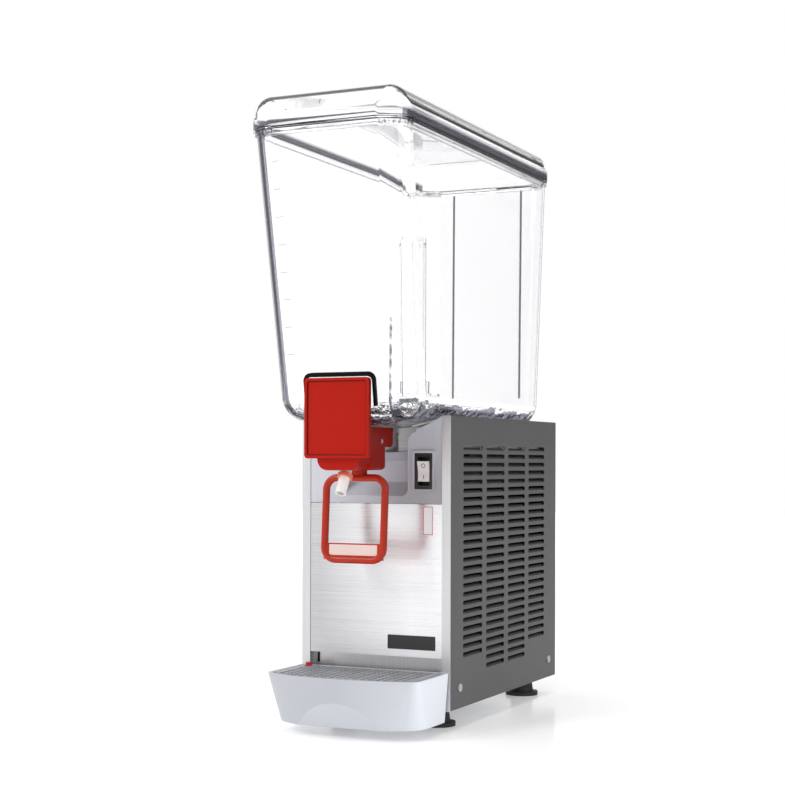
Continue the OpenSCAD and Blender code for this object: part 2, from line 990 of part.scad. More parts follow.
module spray_tube() {
    z0 = cup_top + 17;
    top_z = 548;
    color("#dfe6ea")
        at_frame()
            translate([0, pump_y, z0])
                difference() {
                    cylinder(d = 27, h = top_z - z0);
                    translate([0, 0, -1])
                        cylinder(d = 22, h = top_z - z0 - 2);
                    for (turn = [0 : 45 : 315])
                        rotate(turn)
                            translate([0, 0, top_z - z0 - 9])
                                rotate([0, 90, 0])
                                    cylinder(d = 4, h = 20);
                }
}

// Bowl and lid

// Tapered body of the bowl, shrunk by t on every side: rounded foot, arc floor, leaning front wall.
module bowl_body(t, top) {
    r = corner_r - t;
    foot_x = bowl_w_low / 2 - corner_r;
    hull() {
        for (side = [-1, 1], y = [top_y, bowl_rear - corner_r])
            translate([side * (bowl_w / 2 - corner_r), y, rim_low])
                cylinder(r = r, h = top - rim_low, $fn = 48);
        for (x = [-foot_x, -foot_x / 2, 0, foot_x / 2, foot_x], y = [low_y, bowl_rear_low - corner_r])
            translate([x, y, floor_at(x) + corner_r])
                sphere(r = r, $fn = 48);
    }
}

module bowl() {
    color("#e3ebef", 0.45)
        at_frame()
            difference() {
                union() {
                    bowl_body(0, rim_z);
                    translate([0, 0, rim_low])
                        linear_extrude(flange_t)
                            plan_rect(bowl_w + 2 * flange_out, -bowl_front - flange_out, bowl_rear + flange_out,
                                corner_r + flange_out);
                    // Collar that stands on the cold cup's rim.
                    translate([0, pump_y, seat_z])
                        cylinder(r = collar_r, h = 18, $fn = 96);
                    // Outlet neck under the floor, with its drain.
                    translate([0, 0, neck_z])
                        bar_y(neck_d, neck_end, neck_back);
                    translate([0, drain_y, neck_z])
                        cylinder(d = neck_d + 2, h = 20);
                }
                difference() {
                    bowl_body(bowl_t, rim_z + 1);
                    translate([0, pump_y, seat_z])
                        cylinder(r = collar_r, h = 18, $fn = 96);
                }
                translate([0, pump_y, seat_z - 1])
                    cylinder(r = gasket_r, h = 60, $fn = 96);
                translate([0, 0, neck_z])
                    bar_y(neck_bore, neck_end - 1, neck_back - 5);
                translate([0, drain_y, neck_z])
                    cylinder(d = neck_bore, h = 40);
            }
}

module bowl_gasket() {
    color("#2a2b2d")
        at_frame()
            translate([0, pump_y, seat_z + 2])
                difference() {
                    cylinder(r = gasket_r - run_gap, h = 15, $fn = 96);
                    translate([0, 0, -1])
                        cylinder(r = cup_r + gap, h = 20, $fn = 96);
                    // Groove between the two sealing lips.
                    translate([0, 0, 5])
                        cylinder(r = cup_r + 1.6, h = 5, $fn = 96);
                }
}

// Cap of the lid, shrunk by t: sides with a slight draft and a rounded top edge.
module lid_cap(t) {
    plan_r = corner_r + lid_side;
    r = plan_r - lid_step;
    ball_in = (r - lid_round) / sqrt(2);
    mid_y = (lid_back - lid_over) / 2;
    half_x = lid_w / 2 - plan_r;
    half_y = (lid_back + lid_over) / 2 - plan_r;
    hull()
        for (sx = [-1, 1], sy = [-1, 1]) {
            translate([sx * half_x, mid_y + sy * half_y, lid_z + 3])
                cylinder(r = r - t, h = band_h, $fn = 48);
            translate([sx * (half_x + ball_in), mid_y + sy * (half_y + ball_in), lid_z + lid_h - lid_round])
                sphere(r = lid_round - t, $fn = 48);
        }
}

module lid() {
    lip_w = bowl_w - 2 * bowl_t - 3;
    color("#e3ebef", 0.45)
        at_frame()
            difference() {
                union() {
                    translate([0, 0, lid_z])
                        linear_extrude(band_h)
                            plan_rect(lid_w, -lid_over, lid_back, corner_r + lid_side);
                    lid_cap(0);
                    // Lip that drops inside the bowl's rim.
                    translate([0, 0, lid_z - 6])
                        linear_extrude(7)
                            plan_rect(lip_w, 5 - bowl_front, bowl_rear - 5, corner_r - 5);
                }
                lid_cap(lid_t);
                translate([0, 0, lid_z - 7])
                    linear_extrude(11)
                        plan_rect(lip_w - 5, 7.5 - bowl_front, bowl_rear - 7.5, corner_r - 7);
            }
}

// Tap

module tap_body() {
    color("#b3261a")
        at_frame()
            difference() {
                intersection() {
                    union() {
                        upright(body_front, tube_y + 6)
                            tub(-body_w / 2, body_w / 2, body_z0, body_z1, tub_r, tub_r);
                        upright(tube_y + 6 - eps, body_back)
                            tub(-body_w / 2, body_w / 2, body_z0, body_z1, 5, 5);
                    }
                    union() {
                        sideways(-body_w, body_w)
                            tub(body_front, body_step, body_z0, body_z1, 2, 5);
                        sideways(-body_w, body_w)
                            tub(body_front, body_back, body_step_z, body_z1, 2, 7);
                    }
                }
                block([body_wall - body_w / 2, cavity_front, body_z0 - 1],
                    [body_w / 2 - body_wall, body_back - 3, body_z1 - body_wall]);
                translate([0, 0, neck_z]) {
                    bar_y(neck_d + 2 * gap, cavity_front - eps, body_back + 1);
                    bar_y(neck_d + 2 * run_gap, neck_end - 2, cavity_front + 1);
                    bar_y(neck_bore, anvil_y - 6, cavity_front);
                }
                translate([0, tube_y, body_z0 - 1])
                    cylinder(d = tube_d + 2 * run_gap, h = neck_z - body_z0 + 1);
                translate([0, tube_y, pinch_z0])
                    rotate([-spout_tilt, 0, 0])
                        translate([0, 0, -20])
                            cylinder(d = tube_d + 2 * gap, h = 20);
                // Window where the lever's nose pinches the tube against the front wall.
                block([-12, anvil_y, body_z0 - 1], [12, cavity_front + 1, pinch_z1 + 1]);
                translate([0, pivot_y, pivot_z])
                    bar_x(pin_d + 2 * run_gap, -body_w / 2 - 1, body_w / 2 + 1);
            }
}

module tap_cover() {
    h = cover_z1 - cover_z0;
    mid = (cover_z1 + cover_z0) / 2;
    color("#c0301f")
        at_frame()
            difference() {
                upright(-cover_y, body_front)
                    translate([0, mid])
                        round_rect(cover_w, h, 4);
                upright(-cover_y - 1, 1.3 - cover_y)
                    translate([0, mid])
                        round_rect(cover_w - 6.4, h - 6.4, 2.5);
            }
}

// Black edge round the tap's seat: an upturned U that lies on the bowl's leaning front wall.
module tap_seat_trim() {
    out_w = cover_w + 7.5;
    band = 4.5;
    leg_w = 3;
    leg = 36;
    depth = corner_r + 5;
    trim_top = (cover_z1 - foot_z + depth * sin(wall_tilt)) / cos(wall_tilt) + band + 1;
    color("#0c0c0d")
        at_frame()
            translate([0, low_y, foot_z])
                rotate([wall_tilt, 0, 0])
                    upright(-depth, -corner_r - gap)
                        translate([0, trim_top])
                            difference() {
                                translate([-out_w / 2, -leg])
                                    trim_outline(out_w, leg, 9);
                                translate([leg_w - out_w / 2, -leg - 1])
                                    trim_outline(out_w - 2 * leg_w, leg + 1 - band, 5);
                            }
}

// Rectangle with its two upper corners rounded, from the origin.
module trim_outline(w, h, r) {
    square([w, h - r]);
    translate([r, 0])
        square([w - 2 * r, h]);
    for (x = [r, w - r])
        translate([x, h - r])
            circle(r);
}

module neck_seal() {
    color("#f2f2ee")
        at_frame()
            translate([0, 0, neck_z])
                difference() {
                    bar_y(neck_d, neck_end - 2, neck_end);
                    bar_y(neck_bore, neck_end - 3, neck_end + 1);
                }
}

// White outlet tube: a round top, the flat stretch that the lever pinches shut, and the slanted spout.
module spout_tube() {
    color("#f7f7f5")
        at_frame()
            translate([0, tube_y, 0]) {
                difference() {
                    translate([0, 0, pinch_z1 - 1])
                        cylinder(d = tube_d, h = 10);
                    translate([0, 0, pinch_z1 + 1])
                        cylinder(d = tube_bore, h = 20);
                }
                block([-8, anvil_y - tube_y, pinch_z0 - 3], [8, anvil_y - tube_y + pinch_t, pinch_z1]);
                difference() {
                    translate([0, 0, pinch_z0])
                        rotate([-spout_tilt, 0, 0])
                            translate([0, 0, -spout_len])
                                cylinder(d = tube_d, h = spout_len);
                    translate([0, 0, pinch_z0])
                        rotate([-spout_tilt, 0, 0])
                            translate([0, 0, -spout_len - 1])
                                cylinder(d = tube_bore, h = spout_len - 5);
                    // The top is cut level, clear of the nose.
                    block([-20, -20, pinch_z0 - 1], [20, 20, pinch_z1 + 10]);
                    block([-20, anvil_y - tube_y + pinch_t, pinch_z0 - 2.5], [20, 20, pinch_z0 + 10]);
                }
            }
}

module spout_ring() {
    s = 4;
    color("#e08a6a")
        at_frame()
            translate([0, tube_y, pinch_z0])
                rotate([-spout_tilt, 0, 0])
                    difference() {
                        translate([0, 0, -11.4 - s])
                            cylinder(d = 16.5, h = s);
                        translate([0, 0, -40])
                            cylinder(d = tube_d + 2 * run_gap, h = 60);
                    }
}

// Loop of round bar about the middle of its top bar.
module lever_loop() {
    side_x = loop_w / 2;
    bar_x(bar_d, loop_r - side_x, side_x - loop_r);
    translate([0, 0, -loop_h])
        bar_x(bar_d, loop_r - side_x, side_x - loop_r);
    for (side = [0, 1])
        mirror([side, 0, 0]) {
            translate([side_x, 0, loop_r - loop_h])
                cylinder(d = bar_d, h = loop_h - 2 * loop_r);
            translate([side_x - loop_r, 0, -loop_r])
                rotate([90, 0, 0])
                    rotate_extrude(angle = 90)
                        translate([loop_r, 0])
                            circle(d = bar_d);
            translate([side_x - loop_r, 0, loop_r - loop_h])
                mirror([0, 0, 1])
                    rotate([90, 0, 0])
                        rotate_extrude(angle = 90)
                            translate([loop_r, 0])
                                circle(d = bar_d);
        }
    // Plate across the bottom that takes the label.
    block([-side_x, -1.5, -loop_h], [side_x, 1.5, 17.6 - loop_h]);
}

module push_lever() {
    hub_z = 284;
    color("#c0301f")
        at_frame() {
            translate([0, bar_y, bar_z])
                rotate([-loop_tilt, 0, 0])
                    lever_loop();
            // Hub between the loop and the fork.
            block([-9, bar_y - 3, bar_z], [9, bar_y + 9, hub_z + 1]);
            difference() {
                union() {
                    block([-arm_x1, -44, hub_z], [arm_x1, pivot_y + 5, hub_z + 10]);
                    for (side = [0, 1])
                        mirror([side, 0, 0]) {
                            block([arm_x0, pivot_y - 6, hub_z], [arm_x1, pivot_y + 5, pivot_z]);
                            translate([0, pivot_y, pivot_z])
                                bar_x(12, arm_x0, arm_x1);
                        }
                    // Nose that shuts the tube.
                    block([-7.5, anvil_y + pinch_t + 0.1, 288], [7.5, -42, 294]);
                }
                translate([0, pivot_y, pivot_z])
                    bar_x(pin_d + 2 * run_gap, -30, 30);
            }
        }
}

module lever_pins() {
    color("#c9cacc")
        at_frame()
            for (side = [0, 1])
                mirror([side, 0, 0])
                    translate([0, pivot_y, pivot_z])
                        bar_x(pin_d, neck_d / 2 + 0.6, body_w / 2);
}

module lever_springs() {
    color("#9a9ca0")
        at_frame()
            for (side = [0, 1])
                mirror([side, 0, 0])
                    translate([0, pivot_y, pivot_z])
                        difference() {
                            union() {
                                bar_x(9, 11.8, arm_x0 - gap);
                                block([11.8, 2.6, 0], [arm_x0 - gap, 4.4, body_z1 - body_wall - pivot_z]);
                            }
                            bar_x(pin_d + 2 * gap, 11, arm_x0);
                        }
}

// Drip tray

// Outline of the tray in plan, half_x wide to each side and from -front to back: a bowed front between
// rounded corners.
module tray_plan(half_x, front, bow, r, back) {
    back_r = 4;
    bow_r = (half_x * half_x + bow * bow) / (2 * bow);
    bow_y = bow_r - front;
    // Each front corner's circle touches the bow from inside, at meet_x.
    corner_x = half_x - r;
    corner_y = bow_y - sqrt(pow(bow_r - r, 2) - pow(corner_x, 2));
    meet_x = corner_x * bow_r / (bow_r - r);
    intersection() {
        translate([0, bow_y])
            circle(bow_r, $fn = 360);
        translate([-meet_x, -front - 1])
            square([2 * meet_x, front + 1 + back - back_r]);
    }
    for (side = [-1, 1])
        translate([side * corner_x, corner_y])
            circle(r);
    translate([-half_x, corner_y])
        square([2 * half_x, back - back_r - corner_y]);
    plan_rect(2 * half_x, corner_y + 1, back, back_r);
}

// Body of the tray, shrunk by t: the rim's outline drawn in towards the underside.
module tray_body(t, z0, z1) {
    hull() {
        translate([0, 0, z1 - 1])
            linear_extrude(1)
                tray_plan(tray_w / 2 - t, tray_front - t, rim_bow, rim_r - t, tray_back - t);
        translate([0, 0, z0])
            linear_extrude(1)
                tray_plan(tray_w / 2 - t - sole_side, tray_front - t - sole_front, sole_bow, sole_r,
                    tray_back - t);
    }
}

// What the slanted flat face low on the bowed front takes away, moved in by t.
module facet_cut(t) {
    facet_y = sole_front * (tray_z1 - facet_z) / (tray_z1 - tray_z0) - tray_front;
    translate([0, facet_y, facet_z])
        rotate([facet_tilt, 0, 0])
            block([-120, -60, -80], [120, t, 20]);
}

module drip_tray() {
    color("#dfe3ea")
        at_frame()
            difference() {
                union() {
                    difference() {
                        tray_body(0, tray_z0, tray_z1);
                        difference() {
                            tray_body(tray_wall, tray_z0 + tray_wall, tray_z1 + 1);
                            facet_cut(tray_wall);
                        }
                        facet_cut(0);
                    }
                    // Shelf that hangs on the cabinet's ledge.
                    block([-76, tray_back - tray_wall, ledge_z], [76, recess_d - 2, ledge_z + 4]);
                    // Posts under the grille.
                    for (x = [-62, 62], y = [-14, -70])
                        translate([x, y, tray_z0 + 1])
                            cylinder(d = 7, h = grille_z - tray_z0 - 1);
                    // Guide for the float.
                    translate([float_x, float_y, tray_z0 + 1])
                        cylinder(d = 10, h = 34);
                }
                translate([float_x, float_y, tray_z0 + 21])
                    cylinder(d = 5.8, h = 60);
            }
}

module tray_grille() {
    cell = 9;
    hole = 6.4;
    edge = tray_wall + 3;
    cols = floor((tray_w / 2 - edge - hole) / cell);
    rows = floor((tray_front - 2 * edge - hole / 2) / cell);
    color("#8c8e96")
        at_frame()
            translate([0, 0, grille_z])
                linear_extrude(grille_t)
                    difference() {
                        tray_plan(tray_w / 2 - edge, tray_front - edge, rim_bow, rim_r, tray_back - edge);
                        for (ix = [-cols : cols], iy = [1 : rows]) {
                            place = [ix * cell, 6 - tray_front + iy * cell];
                            if (norm(place - [float_x, float_y]) > 10)
                                translate(place)
                                    square(hole, center = true);
                        }
                        translate([float_x, float_y])
                            circle(d = 9.4);
                    }
}

module tray_float() {
    color("#c01c1c")
        at_frame()
            translate([float_x, float_y, 0]) {
                translate([0, 0, tray_z0 + 22])
                    cylinder(d = 5, h = 30);
                translate([0, 0, tray_z1 - 12])
                    cylinder(d = 7, h = 15);
                translate([0, 0, tray_z1 + 3])
                    cylinder(d1 = 7, d2 = 5.4, h = 1);
            }
}

base_pan();
rubber_feet();
front_frame();
front_lower_panel();
front_upper_panel();
left_side_panel();
right_side_panel();
rear_panel();
top_deck();
insulation_block();
panel_screws();
front_badge();
switch_body();
switch_rocker();
cord_gland();
compressor();
compressor_grommets();
condenser();
fan_bracket();
fan_motor();
fan_blade();
filter_drier();
refrigerant_pipes();
thermostat();
control_box();
evaporator();
evaporator_coil();
pump_motor();
drive_magnet();
impeller();
pump_cover();
spray_tube();
bowl();
bowl_gasket();
lid();
tap_body();
tap_cover();
tap_seat_trim();
neck_seal();
spout_tube();
spout_ring();
push_lever();
lever_pins();
lever_springs();
drip_tray();
tray_grille();
tray_float();
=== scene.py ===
from math import radians

import bpy
from mathutils import Matrix, Vector


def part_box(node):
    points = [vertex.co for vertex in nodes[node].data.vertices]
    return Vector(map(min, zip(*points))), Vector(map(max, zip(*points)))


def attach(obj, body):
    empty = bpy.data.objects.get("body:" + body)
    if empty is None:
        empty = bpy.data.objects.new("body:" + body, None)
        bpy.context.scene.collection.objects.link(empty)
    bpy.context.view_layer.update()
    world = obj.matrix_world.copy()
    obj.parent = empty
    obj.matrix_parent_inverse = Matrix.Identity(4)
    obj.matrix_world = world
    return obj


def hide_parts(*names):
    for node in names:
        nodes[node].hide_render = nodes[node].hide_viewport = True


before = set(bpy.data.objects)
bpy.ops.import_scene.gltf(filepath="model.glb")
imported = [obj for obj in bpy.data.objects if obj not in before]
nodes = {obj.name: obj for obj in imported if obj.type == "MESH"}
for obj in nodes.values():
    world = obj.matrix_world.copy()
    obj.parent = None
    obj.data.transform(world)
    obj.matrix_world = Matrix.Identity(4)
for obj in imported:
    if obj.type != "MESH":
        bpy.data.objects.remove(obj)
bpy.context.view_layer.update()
scene = bpy.context.scene
MM = 0.001
# The cabinet's front face in the row frame, from the solids.
FRONT_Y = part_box("front_frame")[0][1]


# Camera, fitted to the cabinet's edges

EYE_PLACE = (0.7656, -1.6839, 0.291)
EYE_TURN = radians(25.28)
EYE_ROLL = radians(0.16)
EYE_LENS = 73.33
EYE_SENSOR = 36.0
EYE_SHIFT = 0.0873
eye = bpy.data.cameras.new("eye")
eye.lens = EYE_LENS
eye.sensor_width = EYE_SENSOR
eye.shift_y = EYE_SHIFT
eye_holder = bpy.data.objects.new("eye", eye)
eye_holder.rotation_euler = (radians(90), 0, EYE_TURN)
eye_holder.location = EYE_PLACE
scene.collection.objects.link(eye_holder)
eye_holder.rotation_euler.rotate_axis("Z", EYE_ROLL)
scene.camera = eye_holder


# Finishes

def finish(name):
    """A new node material: the material, its tree and its main shader."""
    made = bpy.data.materials.new(name)
    made.use_nodes = True
    return made, made.node_tree, made.node_tree.nodes["Principled BSDF"]


def add_node(tree, kind, **settings):
    """A new node in the tree, with its settings."""
    made = tree.nodes.new(kind)
    for key, value in settings.items():
        setattr(made, key, value)
    return made


def number(tree, operation, first, second=None):
    """One step of arithmetic on numbers or sockets."""
    made = add_node(tree, "ShaderNodeMath", operation=operation)
    for place, value in enumerate((first, second)):
        if hasattr(value, "is_linked"):
            tree.links.new(value, made.inputs[place])
        elif value is not None:
            made.inputs[place].default_value = value
    return made.outputs["Value"]


def axes(tree):
    """The three Object coordinates as sockets."""
    coords = add_node(tree, "ShaderNodeTexCoord")
    parts = add_node(tree, "ShaderNodeSeparateXYZ")
    tree.links.new(coords.outputs["Object"], parts.inputs["Vector"])
    return parts.outputs


def grain(tree, scale, stretch=(1, 1, 1), detail=4.0):
    """Noise on Object coordinates, stretched along the axes."""
    coords = add_node(tree, "ShaderNodeTexCoord")
    mapping = add_node(tree, "ShaderNodeMapping")
    mapping.inputs["Scale"].default_value = stretch
    noise = add_node(tree, "ShaderNodeTexNoise")
    noise.inputs["Scale"].default_value = scale
    noise.inputs["Detail"].default_value = detail
    tree.links.new(coords.outputs["Object"], mapping.inputs["Vector"])
    tree.links.new(mapping.outputs["Vector"], noise.inputs["Vector"])
    return noise.outputs["Fac"]


def within(tree, value):
    """The value, held between nought and one."""
    return number(tree, "MINIMUM", number(tree, "MAXIMUM", value, 0.0), 1.0)


def multiplied(tree, first, second):
    """One colour times another."""
    wash = add_node(tree, "ShaderNodeMix", data_type="RGBA", blend_type="MULTIPLY")
    wash.inputs["Factor"].default_value = 1.0
    tree.links.new(first, wash.inputs["A"])
    tree.links.new(second, wash.inputs["B"])
    return wash.outputs["Result"]


# The middle of a noise, where most of its values lie.
GRAIN_LOW = 0.3
GRAIN_HIGH = 0.7


def tint(tree, fac, low, high, start=GRAIN_LOW, end=GRAIN_HIGH):
    """Two colours by a grain."""
    ramp = add_node(tree, "ShaderNodeValToRGB")
    ramp.color_ramp.elements[0].position = start
    ramp.color_ramp.elements[1].position = end
    ramp.color_ramp.elements[0].color = (*low, 1)
    ramp.color_ramp.elements[1].color = (*high, 1)
    tree.links.new(fac, ramp.inputs["Fac"])
    return ramp.outputs["Color"]


def spread(tree, fac, low, high):
    """A number between two limits by a grain."""
    span = add_node(tree, "ShaderNodeMapRange")
    span.inputs["From Min"].default_value = GRAIN_LOW
    span.inputs["From Max"].default_value = GRAIN_HIGH
    span.inputs["To Min"].default_value = low
    span.inputs["To Max"].default_value = high
    tree.links.new(fac, span.inputs["Value"])
    return span.outputs["Result"]


def relief(tree, shader, fac, strength, depth, edge=0.0):
    """Fine relief from a grain, over edges softened by a small radius."""
    bump = add_node(tree, "ShaderNodeBump")
    bump.inputs["Strength"].default_value = strength
    bump.inputs["Distance"].default_value = depth
    tree.links.new(fac, bump.inputs["Height"])
    if edge:
        soft = add_node(tree, "ShaderNodeBevel", samples=6)
        soft.inputs["Radius"].default_value = edge
        tree.links.new(soft.outputs["Normal"], bump.inputs["Normal"])
    tree.links.new(bump.outputs["Normal"], shader.inputs["Normal"])


def shade(colour, factor):
    """A colour made lighter or darker."""
    return tuple(min(1.0, part * factor) for part in colour)


# How fast the painted shade on the left of brushed metal runs out, and how much of it is gone at the
# middle.
LEFT_SHADE_RATE = 9.0
LEFT_SHADE_MIDDLE = 0.6
QUARTER_TURN = 0.25


def brushed(name, colour, rough, stretch, streak=0.0, left=1.0, lines_depth=0.08):
    """Brushed metal with fine lines along one axis, and reflections drawn out across them.

    A left below one darkens its left side with painted shade."""
    made, tree, shader = finish(name)
    if streak:
        around = add_node(tree, "ShaderNodeTangent", direction_type="RADIAL", axis="Z")
        tree.links.new(around.outputs["Tangent"], shader.inputs["Tangent"])
        shader.inputs["Anisotropic"].default_value = streak
        shader.inputs["Anisotropic Rotation"].default_value = QUARTER_TURN
    lines = grain(tree, 1.0, stretch, detail=6.0)
    tone = tint(tree, lines, shade(colour, 0.93), shade(colour, 1.05))
    # Painted shade: the metal's tone grows darker towards its left side.
    if left < 1.0:
        across = number(tree, "MULTIPLY_ADD", axes(tree)["X"], LEFT_SHADE_RATE)
        across.node.inputs[2].default_value = LEFT_SHADE_MIDDLE
        tone = multiplied(tree, tone, tint(tree, across, (left, left, left), (1, 1, 1), 0.0, 1.0))
    tree.links.new(tone, shader.inputs["Base Color"])
    tree.links.new(spread(tree, lines, rough * 0.85, rough * 1.2), shader.inputs["Roughness"])
    shader.inputs["Metallic"].default_value = 1.0
    relief(tree, shader, lines, lines_depth, 0.0002)
    return made


# How steeply a face looks down before it counts as an underside, for the painted light from below.
UNDERSIDE = -0.33


def moulded(name, colour, rough, grain_scale=900.0, depth=0.00008, edge=0.0006, shine=0.5, right=1.0,
            under=0.0, cloudy=0.02):
    """Moulded plastic or rubber with colour clouds, as strong as cloudy says, and a fine skin.

    A right other than one lightens or darkens the faces that look to the right, a painted light and
    shade, and under does a share of that to the faces that look down, a painted light from below."""
    made, tree, shader = finish(name)
    clouds = grain(tree, 14.0)
    skin = grain(tree, grain_scale, detail=2.0)
    tone = tint(tree, clouds, shade(colour, 1 - cloudy), shade(colour, 1 + cloudy))
    # Painted light and shade: faces that look to the right, and a share of those that look down, take a
    # lighter or darker copy of the tone.
    if right != 1.0:
        look = add_node(tree, "ShaderNodeNewGeometry")
        parts = add_node(tree, "ShaderNodeSeparateXYZ")
        tree.links.new(look.outputs["Normal"], parts.inputs["Vector"])
        sides = add_node(tree, "ShaderNodeMix", data_type="RGBA")
        below = number(tree, "LESS_THAN", parts.outputs["Z"], UNDERSIDE)
        rightward = number(tree, "MAXIMUM", parts.outputs["X"], 0.0)
        painted_light_share = number(tree, "ADD", rightward, number(tree, "MULTIPLY", below, under))
        tree.links.new(painted_light_share, sides.inputs["Factor"])
        tree.links.new(tone, sides.inputs["A"])
        dull, bright = (shade(colour, (1 + way * cloudy) * right) for way in (-1, 1))
        tree.links.new(tint(tree, clouds, dull, bright), sides.inputs["B"])
        tone = sides.outputs["Result"]
    tree.links.new(tone, shader.inputs["Base Color"])
    stray = 6 * cloudy
    roughness = spread(tree, clouds, rough * (1 - stray), rough * (1 + stray))
    tree.links.new(roughness, shader.inputs["Roughness"])
    shader.inputs["Specular IOR Level"].default_value = shine
    relief(tree, shader, skin, 0.25, depth, edge)
    return made


# Where the painted light on the upper front panel starts, and how fast it runs across and down.
PAINTED_LIGHT_LEFT = 0.07
PAINTED_LIGHT_TOP = 0.262
PAINTED_LIGHT_ACROSS = 7.7
PAINTED_LIGHT_DOWN = 13.0


def painted_light_satin(name, left, right, rough):
    """Satin plastic with painted light: its tone runs from lighter at the left and the top to darker at
    the lower right, with a fine skin.
    """
    made, tree, shader = finish(name)
    place = axes(tree)
    across = number(tree, "MULTIPLY", number(tree, "ADD", place["X"], PAINTED_LIGHT_LEFT), PAINTED_LIGHT_ACROSS)
    up = number(tree, "MULTIPLY", number(tree, "SUBTRACT", place["Z"], PAINTED_LIGHT_TOP), PAINTED_LIGHT_DOWN)
    tone = tint(tree, number(tree, "SUBTRACT", across, up), left, right, 0.0, 1.0)
    tree.links.new(tone, shader.inputs["Base Color"])
    skin = grain(tree, 900.0, detail=2.0)
    tree.links.new(spread(tree, skin, rough * 0.88, rough * 1.12), shader.inputs["Roughness"])
    relief(tree, shader, skin, 0.25, 0.00008, 0.0012)
    return made


# How fast the painted shade grows inside a panel's outer face, and the share of its tone that is left
# there.
INSIDE_SHADE_RATE = 400.0
INSIDE_SHADE = (0.2, 0.2, 0.2)


def painted(name, colour, rough, skin=None):
    """Sprayed paint on sheet metal: a light orange-peel and soft clouds.

    A skin is the distance from the middle inside which the tone darkens, a painted shade on faces set in
    from the outer face, such as louvre tongues."""
    made, tree, shader = finish(name)
    clouds = grain(tree, 5.0)
    peel = grain(tree, 700.0, detail=3.0)
    tone = tint(tree, clouds, shade(colour, 0.93), shade(colour, 1.07))
    # Painted shade: faces set in from the panel's outer face grow darker.
    if skin:
        depth = number(tree, "SUBTRACT", skin, number(tree, "ABSOLUTE", axes(tree)["X"]))
        inside = number(tree, "MULTIPLY", depth, INSIDE_SHADE_RATE)
        tone = multiplied(tree, tone, tint(tree, inside, (1, 1, 1), INSIDE_SHADE, 0.1, 0.9))
    tree.links.new(tone, shader.inputs["Base Color"])
    tree.links.new(spread(tree, peel, rough * 0.9, rough * 1.15), shader.inputs["Roughness"])
    relief(tree, shader, peel, 0.3, 0.00012, 0.0004)
    return made


# Axis of the bowl's rounded corner at the front left: its top, its lean and its foot.
CORNER_TOP = (-0.058, FRONT_Y - 0.098, 0.633)
CORNER_LEAN = 0.1676
CORNER_FOOT = 0.372
# Where the painted dark line below the bowl's front ends, and where its rear corners start.
CORNER_END = 0.05
CORNER_REAR = 0.165
# How much wider the painted dark edges are at the front left, below the front and at the rear right.
LEFT_WIDER = 1.25
LOW_WIDER = 1.4
REAR_WIDER = 0.2
# Height below which the bowl's right side gets painted shadow, how far that shadow's edge waves, and its
# grain.
BED_TOP = 0.364
BED_WAVE = 0.03
BED_RIPPLES = (1.0, 0.6, 2.0)
# Band at the bowl's front right corner: left edge, lean, width, top and how fast it fades in below.
LINE_LEFT = 0.0555
LINE_LEAN = 0.085
LINE_BAND = 0.0095
LINE_TOP = 0.49
LINE_FADE = 16.0
# The share of the band that is its dark line, the tones of both, and the line's breaks.
LINE_SHARE = 0.17
BAND_TONE = 0.74
LINE_TONE = 0.32
LINE_BREAKS = (20.0, 20.0, 110.0)
# Height below which the bowl's floor is rippled, how fast the ripples fade in, and their depth.
RIPPLE_TOP = 0.352
RIPPLE_FADE = 80.0
RIPPLE_DEPTH = 15.0
# Slants between which a clear piece grows dark, a painted dark edge, its tone there, and the tone of the
# painted shade on the lid's side bands.
PAINTED_EDGE_START = 0.80
PAINTED_EDGE_FULL = 0.985
PAINTED_EDGE_TONE = (0.08, 0.08, 0.12)
SIDE_SHADE_TONE = (0.07, 0.07, 0.09)


def front_wall(tree, place):
    """One on the bowl's front wall, which leans, and nought behind it."""
    lean = number(tree, "MULTIPLY", number(tree, "SUBTRACT", CORNER_TOP[2], place["Z"]), CORNER_LEAN)
    return number(tree, "LESS_THAN", number(tree, "SUBTRACT", place["Y"], lean), CORNER_TOP[1])


def corner_line(tree):
    """Where the bowl's front wall meets its right corner: a faint band with a dark, broken left edge."""
    place = axes(tree)
    out = number(tree, "MULTIPLY", number(tree, "SUBTRACT", place["Z"], CORNER_FOOT), LINE_LEAN)
    inner = number(tree, "SUBTRACT", number(tree, "SUBTRACT", place["X"], LINE_LEFT), out)
    along = number(tree, "DIVIDE", inner, LINE_BAND)
    past_left = number(tree, "GREATER_THAN", along, 0.0)
    band = number(tree, "MULTIPLY", past_left, number(tree, "LESS_THAN", along, 1.0))
    line = number(tree, "MULTIPLY", band, number(tree, "LESS_THAN", along, LINE_SHARE))
    fade = number(tree, "MULTIPLY", number(tree, "SUBTRACT", LINE_TOP, place["Z"]), LINE_FADE)
    broken = spread(tree, grain(tree, 1.0, LINE_BREAKS, 2.0), 0.0, LINE_TONE)
    dark = number(tree, "MULTIPLY", line, broken)
    tone = number(tree, "ADD", number(tree, "MULTIPLY", band, BAND_TONE), dark)
    faded = number(tree, "MULTIPLY", tone, within(tree, fade))
    return number(tree, "MULTIPLY", faded, front_wall(tree, place))


